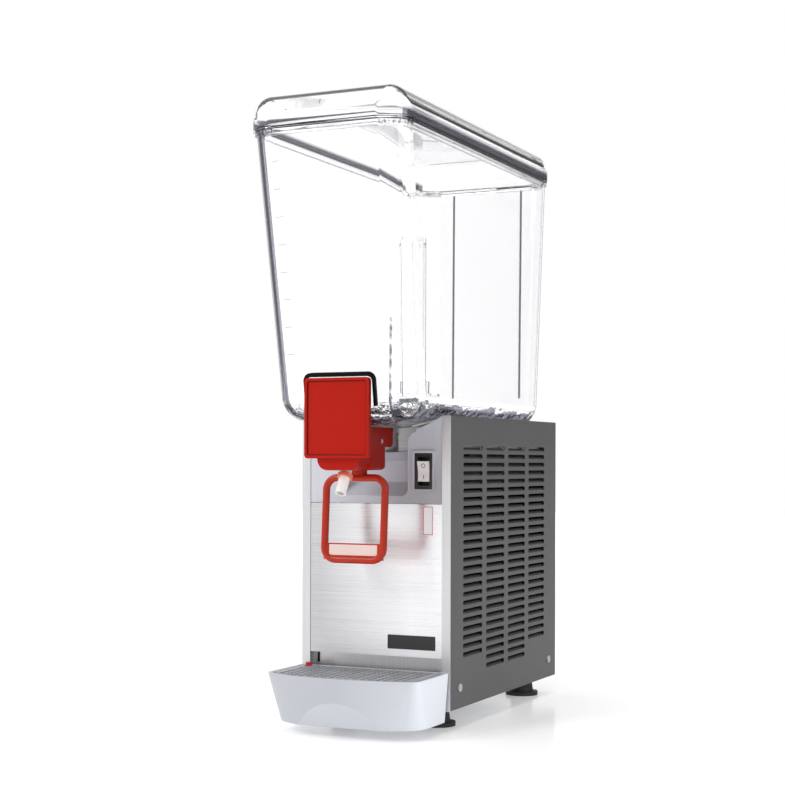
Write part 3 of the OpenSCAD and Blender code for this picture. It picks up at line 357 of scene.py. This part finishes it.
def dark_corners(tree):
    """How much wider the bowl's painted dark edges are at its corners, and a painted shadow, uneven,
    along its lower right.
    """
    place = axes(tree)
    front = front_wall(tree, place)
    left = number(tree, "LESS_THAN", place["X"], CORNER_TOP[0])
    near = number(tree, "LESS_THAN", place["X"], CORNER_END)
    low = number(tree, "MULTIPLY", number(tree, "LESS_THAN", place["Z"], CORNER_FOOT), near)
    low_wider = number(tree, "MULTIPLY", low, LOW_WIDER)
    wide = number(tree, "MAXIMUM", number(tree, "MULTIPLY", left, LEFT_WIDER), low_wider)
    rear = number(tree, "GREATER_THAN", place["Y"], CORNER_REAR)
    right = number(tree, "GREATER_THAN", place["X"], -CORNER_TOP[0])
    narrow = number(tree, "MULTIPLY", number(tree, "MULTIPLY", rear, right), REAR_WIDER)
    # Painted shadow over the bowl's lower right, with a wavy edge.
    ripples = grain(tree, 45.0, BED_RIPPLES, 3.0)
    wavy = number(tree, "ADD", place["Z"], number(tree, "MULTIPLY", ripples, BED_WAVE))
    under = number(tree, "MULTIPLY", number(tree, "LESS_THAN", wavy, BED_TOP), right)
    bed = number(tree, "MULTIPLY", under, spread(tree, ripples, 0.55, 1.0))
    corners = number(tree, "ADD", number(tree, "MULTIPLY", front, wide), narrow)
    return number(tree, "ADD", corners, bed)


def floor_ripples(tree):
    """Coarse ripples that fade in towards the bowl's floor."""
    deep = number(tree, "MULTIPLY", number(tree, "SUBTRACT", RIPPLE_TOP, axes(tree)["Z"]), RIPPLE_FADE)
    ripples = number(tree, "MULTIPLY", grain(tree, 55.0, detail=3.0), within(tree, deep))
    return number(tree, "MULTIPLY", ripples, RIPPLE_DEPTH)


def clear_plastic(name, tone, density, painted_edge_tone=PAINTED_EDGE_TONE, band=None, bend=1.49, bowl=False):
    """Clear plastic with a slight tint, and painted dark edges where its faces are seen at a slant.

    A band, given by its distance from the middle, its height and half its width, darkens the left and
    right sides, a painted shade. A bowl has wider painted dark edges at its corners and ripples over its
    floor."""
    made, tree, shader = finish(name)
    waves = grain(tree, 9.0, detail=1.0)
    slant = add_node(tree, "ShaderNodeLayerWeight")
    slant.inputs["Blend"].default_value = 0.5
    facing = slant.outputs["Facing"]
    if bowl:
        facing = number(tree, "MULTIPLY", facing, number(tree, "ADD", dark_corners(tree), 1.0))
        facing = number(tree, "ADD", facing, corner_line(tree))
    # Painted dark edges: the colour darkens where the faces are seen at a slant.
    painted_edge_colour = tint(tree, facing, (1.0, 1.0, 1.0), painted_edge_tone, PAINTED_EDGE_START, PAINTED_EDGE_FULL)
    # Painted shade on the lid's left and right sides.
    if band:
        side, middle, half = band
        place = axes(tree)
        outer = number(tree, "GREATER_THAN", number(tree, "ABSOLUTE", place["X"]), side)
        away = number(tree, "ABSOLUTE", number(tree, "SUBTRACT", place["Z"], middle))
        near = number(tree, "SUBTRACT", 1.0, number(tree, "DIVIDE", away, half))
        shadow = tint(tree, number(tree, "MULTIPLY", outer, near), (1, 1, 1), SIDE_SHADE_TONE, 0.0, 0.55)
        painted_edge_colour = multiplied(tree, painted_edge_colour, shadow)
    tree.links.new(painted_edge_colour, shader.inputs["Base Color"])
    tree.links.new(spread(tree, waves, 0.0, 0.015), shader.inputs["Roughness"])
    shader.inputs["IOR"].default_value = bend
    shader.inputs["Transmission Weight"].default_value = 1.0
    if bowl:
        heights = number(tree, "ADD", number(tree, "MULTIPLY", waves, 0.1), floor_ripples(tree))
        relief(tree, shader, heights, 0.4, 0.001)
    else:
        relief(tree, shader, waves, 0.04, 0.001)
    dye = add_node(tree, "ShaderNodeVolumeAbsorption")
    dye.inputs["Color"].default_value = (*tone, 1)
    dye.inputs["Density"].default_value = density
    output = tree.nodes["Material Output"]
    tree.links.new(dye.outputs["Volume"], output.inputs["Volume"])
    return made


STEEL_LINES_ACROSS = (6.0, 6.0, 1400.0)
STEEL_LINES_UP = (1400.0, 1400.0, 6.0)
# The lower front panel has painted shade on its left side.
panel_steel = brushed("panel_steel", (0.80, 0.80, 0.82), 0.3, STEEL_LINES_ACROSS, 0.8, 0.56)
post_steel = brushed("post_steel", (0.61, 0.61, 0.62), 0.34, STEEL_LINES_UP, lines_depth=0.02)
screw_steel = brushed("screw_steel", (0.70, 0.70, 0.70), 0.3, (300.0, 300.0, 300.0))
cup_steel = brushed("cup_steel", (0.80, 0.81, 0.82), 0.2, (10.0, 10.0, 900.0))
pan_metal = painted("pan_metal", (0.42, 0.43, 0.44), 0.45)
# The side panels' louvre tongues, set in from the outer face, get painted shade.
side_paint = painted("side_paint", (0.075, 0.075, 0.078), 0.42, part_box("right_side_panel")[1][0])
rear_paint = painted("rear_paint", (0.075, 0.075, 0.078), 0.42)
foot_rubber = moulded("foot_rubber", (0.014, 0.014, 0.015), 0.6, 500.0, 0.00015)
black_plastic = moulded("black_plastic", (0.014, 0.014, 0.015), 0.35)
# The upper front panel's tone is painted light, lighter at the left and the top.
upper_grey = painted_light_satin("upper_grey", (0.66, 0.68, 0.75), (0.40, 0.395, 0.425), 0.34)
deck_white = moulded("deck_white", (0.82, 0.83, 0.85), 0.35)
foam_cream = moulded("foam_cream", (0.72, 0.70, 0.62), 0.8, 200.0, 0.0005)
ivory = moulded("ivory", (0.76, 0.72, 0.72), 0.3)
iron_black = painted("iron_black", (0.03, 0.03, 0.032), 0.4)
fin_grey = painted("fin_grey", (0.09, 0.09, 0.092), 0.5)
copper = brushed("copper", (0.72, 0.33, 0.17), 0.35, (60.0, 60.0, 60.0))
pipe_dark = brushed("pipe_dark", (0.10, 0.05, 0.03), 0.45, (60.0, 60.0, 60.0))
fan_grey = moulded("fan_grey", (0.45, 0.46, 0.48), 0.45)
# The tap and the lever have painted shade on the faces that look to the right.
tap_red = moulded("tap_red", (0.43, 0.012, 0.005), 0.3, 700.0, 0.00006, 0.0012, 0.1, 0.52)
lever_red = moulded("lever_red", (0.47, 0.026, 0.008), 0.18, 700.0, 0.00004, 0.0008, 0.25, 0.7)
# Dark red for the painted shadow line round the tap's cover.
gap_shadow_red = moulded("gap_shadow_red", (0.13, 0.004, 0.003), 0.5, shine=0.2)
ring_peach = moulded("ring_peach", (0.75, 0.22, 0.13), 0.35)
mat_black = moulded("mat_black", (0.012, 0.012, 0.013), 0.85, 260.0, 0.0008, shine=0.1)
# Near-black trim behind the tap's cover, whose edge also gives the dark line round the cover, partly a
# painted shadow.
trim_shadow_black = moulded("trim_shadow_black", (0.002, 0.002, 0.003), 0.4, shine=0.1)
tube_white = moulded("tube_white", (0.86, 0.85, 0.83), 0.32)
# The tray has painted light on the faces that look to the right and, less, on its undersides.
tray_white = moulded("tray_white", (0.515, 0.535, 0.575), 0.25, 800.0, 0.00002, 0.0015, right=1.7,
                     under=0.2, cloudy=0.001)
grille_grey = moulded("grille_grey", (0.30, 0.305, 0.335), 0.4)
float_red = moulded("float_red", (0.55, 0.012, 0.012), 0.3)
wheel_pale = moulded("wheel_pale", (0.62, 0.66, 0.72), 0.4)
bowl_clear = clear_plastic("bowl_clear", (0.60, 0.58, 0.84), 7.0, bowl=True)
lid_clear = clear_plastic("lid_clear", (0.60, 0.58, 0.84), 7.0, band=(0.0865, 0.642, 0.0085))
rib_clear = clear_plastic("rib_clear", (0.10, 0.10, 0.16), 1400.0)
neck_frost = moulded("neck_frost", (0.72, 0.71, 0.74), 0.4)
pump_clear = clear_plastic("pump_clear", (0.70, 0.70, 0.84), 4.0, (0.62, 0.62, 0.72), bend=1.16)
label_pale = moulded("label_pale", (0.80, 0.62, 0.58), 0.4, 900.0, 0.00004, 0.0)
label_white = moulded("label_white", (0.90, 0.88, 0.89), 0.4, 900.0, 0.00004, 0.0)
print_red = moulded("print_red", (0.60, 0.06, 0.06), 0.45, 900.0, 0.00003, 0.0)
mark_frost = moulded("mark_frost", (0.55, 0.55, 0.60), 0.5, 900.0, 0.00004, 0.0)

node_finish = {
    "base_pan": pan_metal, "rubber_feet": foot_rubber, "front_frame": post_steel,
    "front_lower_panel": panel_steel, "front_upper_panel": upper_grey,
    "left_side_panel": side_paint, "right_side_panel": side_paint, "rear_panel": rear_paint,
    "top_deck": deck_white, "insulation_block": foam_cream, "panel_screws": screw_steel,
    "front_badge": black_plastic, "switch_body": black_plastic, "switch_rocker": ivory,
    "cord_gland": black_plastic, "compressor": iron_black, "compressor_grommets": foot_rubber,
    "condenser": fin_grey, "fan_bracket": pan_metal, "fan_motor": iron_black, "fan_blade": fan_grey,
    "filter_drier": pipe_dark, "refrigerant_pipes": pipe_dark, "thermostat": ivory,
    "control_box": black_plastic, "evaporator": cup_steel, "evaporator_coil": copper,
    "pump_motor": iron_black, "drive_magnet": iron_black,
    "impeller": wheel_pale, "pump_cover": pump_clear, "spray_tube": pump_clear,
    "bowl": bowl_clear, "bowl_gasket": foot_rubber, "lid": lid_clear,
    "tap_body": tap_red, "tap_cover": tap_red, "tap_seat_trim": trim_shadow_black, "neck_seal": tube_white,
    "spout_tube": tube_white, "spout_ring": ring_peach, "push_lever": lever_red,
    "lever_pins": screw_steel, "lever_springs": screw_steel,
    "drip_tray": tray_white, "tray_grille": grille_grey, "tray_float": float_red,
}
for node_name, node_material in node_finish.items():
    node_mesh = nodes[node_name].data
    node_mesh.materials.clear()
    node_mesh.materials.append(node_material)


# Pieces

def nothing_selected():
    """Clears the selection, because an operator acts on all that is selected."""
    bpy.ops.object.select_all(action="DESELECT")


def pick(piece):
    """Makes one piece the only one selected, and the active one."""
    nothing_selected()
    piece.select_set(True)
    bpy.context.view_layer.objects.active = piece


def settle(piece, body, material):
    """Puts the piece's place into its mesh, dresses it and lets it ride."""
    pick(piece)
    bpy.ops.object.transform_apply(location=True, rotation=True, scale=True)
    piece.data.materials.clear()
    piece.data.materials.append(material)
    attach(piece, body)


def use_modifier(piece, kind, **settings):
    """Adds a modifier with its settings and applies it."""
    pick(piece)
    made = piece.modifiers.new(kind.lower(), kind)
    for key, value in settings.items():
        setattr(made, key, value)
    bpy.ops.object.modifier_apply(modifier=made.name)


def smooth_copy(node_name, piece_name, body, material, angle):
    """The node's own shape with welded, smoothly shaded faces."""
    piece = bpy.data.objects.new(piece_name, nodes[node_name].data.copy())
    scene.collection.objects.link(piece)
    pick(piece)
    bpy.ops.object.mode_set(mode="EDIT")
    bpy.ops.mesh.select_all(action="SELECT")
    bpy.ops.mesh.remove_doubles(threshold=0.00001)
    bpy.ops.mesh.dissolve_limited(angle_limit=radians(0.3))
    bpy.ops.object.mode_set(mode="OBJECT")
    bpy.ops.object.shade_smooth_by_angle(angle=radians(angle))
    use_modifier(piece, "WEIGHTED_NORMAL", weight=90, keep_sharp=True)
    settle(piece, body, material)
    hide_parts(node_name)
    return piece


def hit(target, start, towards):
    """Where a straight line first meets a piece, and the face's normal there."""
    bpy.context.view_layer.update()
    found, place, normal, _ = target.ray_cast(Vector(start), Vector(towards))
    if not found:
        raise ValueError(f"no face of {target.name} in the way")
    return place, normal


# A line from ahead of the machine straight back, and one from inside the bowl.
AHEAD = -0.5
BOWL_INSIDE = 0.1
BACKWARDS = (0, 1, 0)


def lay_on(piece, place, normal, up=Vector((0, 0, 1))):
    """Turns a flat piece made in X-Y so that it lies on a face, with its Y along up."""
    out = Vector(normal).normalized()
    across = up.cross(out).normalized()
    top = out.cross(across).normalized()
    turn = Matrix((across, top, out)).transposed().to_4x4()
    piece.matrix_world = Matrix.Translation(place) @ turn


def bar(name, size, bevel):
    """A small flat bar with softened edges, about the origin."""
    nothing_selected()
    bpy.ops.mesh.primitive_cube_add(size=1)
    piece = bpy.context.object
    piece.name = name
    piece.scale = size
    bpy.ops.object.transform_apply(location=False, rotation=False, scale=True)
    use_modifier(piece, "BEVEL", width=bevel, segments=2)
    return piece


def joined(pieces, name):
    """The pieces as one object."""
    nothing_selected()
    for piece in pieces:
        piece.select_set(True)
    bpy.context.view_layer.objects.active = pieces[0]
    bpy.ops.object.join()
    bpy.context.object.name = name
    return bpy.context.object


# Clear bowl with a frosted outlet neck, clear lid and white tray, whose small angle keeps its facet.
NECK_TOP = 328 * MM
CLEAR_ANGLE = 32
TRAY_ANGLE = 7
clear_bowl = smooth_copy("bowl", "clear_bowl", "bowl_unit", bowl_clear, CLEAR_ANGLE)
clear_bowl.data.materials.append(neck_frost)
for face in clear_bowl.data.polygons:
    if face.center.z < NECK_TOP:
        face.material_index = 1
clear_lid = smooth_copy("lid", "clear_lid", "bowl_lid", lid_clear, CLEAR_ANGLE)
smooth_copy("drip_tray", "white_tray", "tray", tray_white, TRAY_ANGLE)

# Dark filter mat behind the louvres of the rear panel.
REAR_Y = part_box("rear_panel")[1][1]
MAT_SIZE = (132 * MM, 172 * MM, 6 * MM)
MAT_MIDDLE = (8 * MM, REAR_Y - 10 * MM, 176 * MM)
filter_mat = bar("filter_mat", MAT_SIZE, 1.5 * MM)
lay_on(filter_mat, MAT_MIDDLE, (0, 1, 0))
settle(filter_mat, "cabinet", mat_black)

# Level marks down the left of the bowl's front, two litres apart.
MARK_X = -58 * MM
MARK_TOP = 603.5 * MM
MARK_STEP = 28.5 * MM
MARK_COUNT = 8
MARK_SIZE = (9 * MM, 1.0 * MM, 0.8 * MM)
marks = []
for count in range(MARK_COUNT):
    level = MARK_TOP - count * MARK_STEP
    place, normal = hit(clear_bowl, (MARK_X, AHEAD, level), BACKWARDS)
    mark = bar("level_mark", MARK_SIZE, 0.25 * MM)
    lay_on(mark, place, normal)
    marks.append(mark)
level_marks = joined(marks, "level_marks")
settle(level_marks, "bowl_unit", mark_frost)

# Two upright ribs inside the bowl's rear wall, each with the place of its foot and of its head.
RIB_LOW = 370 * MM
RIB_HIGH = 632 * MM
RIB_WIDE = 2.4 * MM
RIB_THICK = 1.6 * MM
RIB_ENDS = ((-39 * MM, -44 * MM), (51 * MM, 47.5 * MM))
ribs = []
for foot_x, head_x in RIB_ENDS:
    low, _ = hit(clear_bowl, (foot_x, BOWL_INSIDE, RIB_LOW), BACKWARDS)
    high, normal = hit(clear_bowl, (head_x, BOWL_INSIDE, RIB_HIGH), BACKWARDS)
    rib = bar("rib", (RIB_WIDE, (high - low).length, RIB_THICK), 0.5 * MM)
    lay_on(rib, (low + high) / 2, normal, high - low)
    ribs.append(rib)
rear_ribs = joined(ribs, "rear_ribs")
settle(rear_ribs, "bowl_unit", rib_clear)

# Gate mark near the top of the lid's front.
place, normal = hit(clear_lid, (-3 * MM, AHEAD, 660 * MM), BACKWARDS)
gate_mark = bar("gate_mark", (1.1 * MM, 6 * MM, 0.6 * MM), 0.2 * MM)
lay_on(gate_mark, place, normal)
settle(gate_mark, "bowl_lid", rib_clear)

# Bare pale label on the lever's cross plate.
place, normal = hit(nodes["push_lever"], (0, AHEAD, 196 * MM), BACKWARDS)
lever_label = bar("lever_label", (57 * MM, 11.4 * MM, 0.5 * MM), 0.15 * MM)
lay_on(lever_label, place, normal)
settle(lever_label, "lever", label_pale)

# Painted shadow line round the inset plate of the tap's cover, in the gap where its rim meets the plate.
cover_low, cover_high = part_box("tap_cover")
cover_z = (cover_low[2] + cover_high[2]) / 2
COVER_RIM = 3.2 * MM
GAP_SHADOW = 1.1 * MM
GAP_SHADOW_THICK = 0.3 * MM
gap_shadow_x = cover_high[0] - COVER_RIM - GAP_SHADOW / 2
gap_shadow_h = (cover_high[2] - cover_low[2]) / 2 - COVER_RIM - GAP_SHADOW / 2
gap_shadows = []
for way_x, way_z in ((-1, 0), (1, 0), (0, -1), (0, 1)):
    start = (way_x * gap_shadow_x, AHEAD, cover_z + way_z * gap_shadow_h)
    place, normal = hit(nodes["tap_cover"], start, BACKWARDS)
    across, upright = (GAP_SHADOW, 2 * gap_shadow_h) if way_x else (2 * gap_shadow_x, GAP_SHADOW)
    gap_shadow = bar("gap_shadow", (across, upright, GAP_SHADOW_THICK), 0.08 * MM)
    lay_on(gap_shadow, place, normal)
    gap_shadows.append(gap_shadow)
cover_gap_shadow = joined(gap_shadows, "cover_gap_shadow")
settle(cover_gap_shadow, "bowl_unit", gap_shadow_red)

# Bare label with a red edge under the switch.
LABEL_SIZE = (11.8 * MM, 31 * MM, 0.3 * MM)
LABEL_MIDDLE = Vector((63.5 * MM, FRONT_Y + 0.6 * MM, 226.5 * MM))
BORDER_SIDE = 5.4 * MM
BORDER_END = 14.9 * MM
BORDER_TALL = 30.4 * MM
BORDER_LONG = 11.5 * MM
BORDER_WIDE = 0.7 * MM
FORWARDS = (0, -1, 0)
switch_label = bar("switch_label", LABEL_SIZE, 0.1 * MM)
lay_on(switch_label, LABEL_MIDDLE, FORWARDS)
settle(switch_label, "cabinet", label_white)
edges = []
for edge_x, edge_z in ((-BORDER_SIDE, 0), (BORDER_SIDE, 0), (0, BORDER_END), (0, -BORDER_END)):
    across, upright = (BORDER_WIDE, BORDER_TALL) if edge_x else (BORDER_LONG, BORDER_WIDE)
    edge = bar("edge", (across, upright, 0.4 * MM), 0.05 * MM)
    lay_on(edge, LABEL_MIDDLE + Vector((edge_x, 0, edge_z)), FORWARDS)
    edges.append(edge)
label_edge = joined(edges, "label_edge")
settle(label_edge, "cabinet", print_red)

# Ring and bar marks on the rocker.
rocker_low, rocker_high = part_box("switch_rocker")
rocker_x = (rocker_low[0] + rocker_high[0]) / 2
rocker_z = (rocker_low[2] + rocker_high[2]) / 2
MARK_OFF = 6 * MM
nothing_selected()
bpy.ops.mesh.primitive_torus_add(major_radius=2.1 * MM, minor_radius=0.3 * MM,
                                 major_segments=32, minor_segments=8)
ring_mark = bpy.context.object
bpy.ops.object.shade_smooth()
line_mark = bar("line_mark", (0.7 * MM, 4.4 * MM, 0.5 * MM), 0.1 * MM)
for mark, mark_z in ((ring_mark, rocker_z + MARK_OFF), (line_mark, rocker_z - MARK_OFF)):
    place, normal = hit(nodes["switch_rocker"], (rocker_x, AHEAD, mark_z), BACKWARDS)
    lay_on(mark, place, normal)
rocker_marks = joined([ring_mark, line_mark], "rocker_marks")
settle(rocker_marks, "rocker", black_plastic)


# Floor, background and light

def lamp(name, place, aim, size, power):
    """A white rectangular lamp that looks at a point."""
    light = bpy.data.lights.new(name, "AREA")
    light.shape = "RECTANGLE"
    light.size, light.size_y = size
    light.energy = power
    holder = bpy.data.objects.new(name, light)
    holder.location = place
    holder.rotation_euler = (Vector(aim) - Vector(place)).to_track_quat("-Z", "Y").to_euler()
    scene.collection.objects.link(holder)


MACHINE_MIDDLE = (0, 0, 0.35)
lamp("key", (-1.5, -1.9, 1.9), MACHINE_MIDDLE, (1.2, 1.2), 31)
lamp("side", (2.4, -0.5, 1.3), MACHINE_MIDDLE, (1.4, 1.8), 15)
lamp("top", (0, -0.1, 2.4), MACHINE_MIDDLE, (1.4, 1.4), 22)

nothing_selected()
bpy.ops.mesh.primitive_plane_add(size=14)
floor = bpy.context.object
floor.name = "floor"
floor_white, tree, shader = finish("floor_white")
shader.inputs["Base Color"].default_value = (0.95, 0.95, 0.955, 1)
shader.inputs["Emission Color"].default_value = (1, 1, 1, 1)
# The floor grows lighter far off, where the lamps don't reach.
FLOOR_REACH = 5.0
GLOW_NEAR = 0.23
GLOW_FAR = 0.6
over = axes(tree)
over_x, over_y = (number(tree, "MULTIPLY", over[axis], over[axis]) for axis in ("X", "Y"))
away = number(tree, "SQRT", number(tree, "ADD", over_x, over_y))
glow = spread(tree, number(tree, "DIVIDE", away, FLOOR_REACH), GLOW_NEAR, GLOW_FAR)
tree.links.new(glow, shader.inputs["Emission Strength"])
shader.inputs["Roughness"].default_value = 0.16
shader.inputs["IOR"].default_value = 1.12
floor.data.materials.append(floor_white)

world = bpy.data.worlds.new("white_room")
scene.world = world
world.use_nodes = True
tree = world.node_tree


def backdrop(strength):
    """A white background of one strength."""
    made = add_node(tree, "ShaderNodeBackground")
    made.inputs["Color"].default_value = (1, 1, 1, 1)
    made.inputs["Strength"].default_value = strength
    return made.outputs["Background"]


def either_or(fac, low, high):
    """The first shader where fac is nought, and the second where it is one."""
    mix = add_node(tree, "ShaderNodeMixShader")
    tree.links.new(fac, mix.inputs["Fac"])
    tree.links.new(low, mix.inputs[1])
    tree.links.new(high, mix.inputs[2])
    return mix.outputs["Shader"]


# Round the room, white windows alternate with dark cards, which draw the edges of the clear bowl.
# The windows are at every 45 degrees and, wider, behind the machine.
AMBIENT = 0.46
CARD = 0.04
WINDOWS = 8
WINDOW_EDGE = 0.5
WIDE_MIDDLE = radians(10.0)
WIDE_HALF = radians(27.0)
WINDOW_WHITE = 1.36
RIGHT_MIDDLE = radians(-45.0)
RIGHT_HALF = radians(42.0)
RIGHT_CARD = 0.3
CARD_TOP = 0.36
way = add_node(tree, "ShaderNodeTexCoord").outputs["Generated"]
parts = add_node(tree, "ShaderNodeSeparateXYZ")
tree.links.new(way, parts.inputs["Vector"])
turn = number(tree, "ARCTAN2", number(tree, "MULTIPLY", parts.outputs["X"], -1.0), parts.outputs["Y"])
round_room = number(tree, "COSINE", number(tree, "MULTIPLY", turn, WINDOWS))
narrow = number(tree, "GREATER_THAN", round_room, WINDOW_EDGE)
off_wide = number(tree, "ABSOLUTE", number(tree, "SUBTRACT", turn, WIDE_MIDDLE))
wide = number(tree, "LESS_THAN", off_wide, WIDE_HALF)
window = number(tree, "MAXIMUM", narrow, wide)
window = number(tree, "MULTIPLY", window, number(tree, "LESS_THAN", parts.outputs["Z"], CARD_TOP))
path = add_node(tree, "ShaderNodeLightPath")
through = path.outputs["Is Transmission Ray"]
seen = number(tree, "MAXIMUM", path.outputs["Is Camera Ray"], path.outputs["Is Glossy Ray"])
off_right = number(tree, "ABSOLUTE", number(tree, "SUBTRACT", turn, RIGHT_MIDDLE))
right_side = number(tree, "LESS_THAN", off_right, RIGHT_HALF)
flagged = number(tree, "MULTIPLY", right_side, path.outputs["Is Glossy Ray"])
front = either_or(flagged, backdrop(1.0), backdrop(RIGHT_CARD))
room = either_or(window, backdrop(CARD), backdrop(WINDOW_WHITE))
shown = either_or(through, either_or(seen, backdrop(AMBIENT), front), room)
tree.links.new(shown, tree.nodes["World Output"].inputs["Surface"])

scene.view_settings.view_transform = "Standard"
